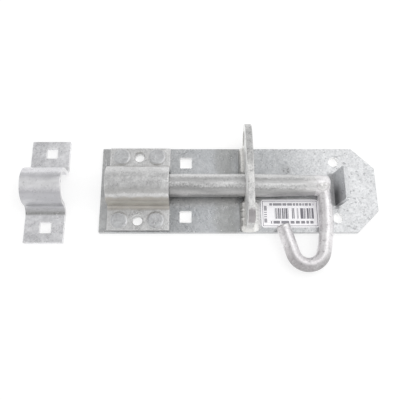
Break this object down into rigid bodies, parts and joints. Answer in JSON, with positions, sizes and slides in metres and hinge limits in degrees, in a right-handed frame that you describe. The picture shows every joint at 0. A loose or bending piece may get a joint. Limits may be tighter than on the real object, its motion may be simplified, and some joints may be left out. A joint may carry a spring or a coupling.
{
  "type": "padbolt",
  "caption": "Galvanised sliding gate bolt on a flat back plate, with a guide bridge, a padlock plate, a hooked bow handle and a separate keep.",
  "frame": {"origin": "middle of the back plate's rear face, which lies on the gate or door", "axes": "+X along the bolt from nose to tail, +Y across the plate towards the padlock lobe, +Z out of the gate"},
  "size_m": [0.2426, 0.1024, 0.0313],
  "materials": {
    "back_plate": "hot-dip galvanised",
    "stop_lug": "hot-dip galvanised",
    "guide_bridge": "hot-dip galvanised",
    "bridge_rivets": "hot-dip galvanised",
    "padlock_plate": "hot-dip galvanised",
    "fillet_welds": "hot-dip galvanised",
    "bolt_bar": "hot-dip galvanised",
    "bow_handle": "hot-dip galvanised",
    "keep": "hot-dip galvanised",
    "paper_label": "matt paper"
  },
  "bodies": {
    "plate": {"back_plate": "back_plate", "stop_lug": "stop_lug", "guide_bridge": "guide_bridge", "bridge_rivets": "bridge_rivets", "padlock_plate": "padlock_plate", "fillet_welds": "fillet_welds", "keep": "keep", "paper_label": "paper_label"},
    "bolt": {"bolt_bar": "bolt_bar"},
    "handle": {"bow_handle": "bow_handle"}
  },
  "joints": [
    {"name": "bolt_slide", "type": "slide", "parent": "plate", "child": "bolt", "axis": [-1, 0, 0], "range_m": [0, 0.0413]},
    {"name": "handle_turn", "type": "hinge", "parent": "bolt", "child": "handle", "pos_m": [0.051, 0, 0.0113], "axis": [-1, 0, 0], "range_deg": [0, 190.2]}
  ],
  "couplings": [
    {"joint": "handle_turn", "follows": "bolt_slide", "rad_per_m": 80.36}
  ]
}
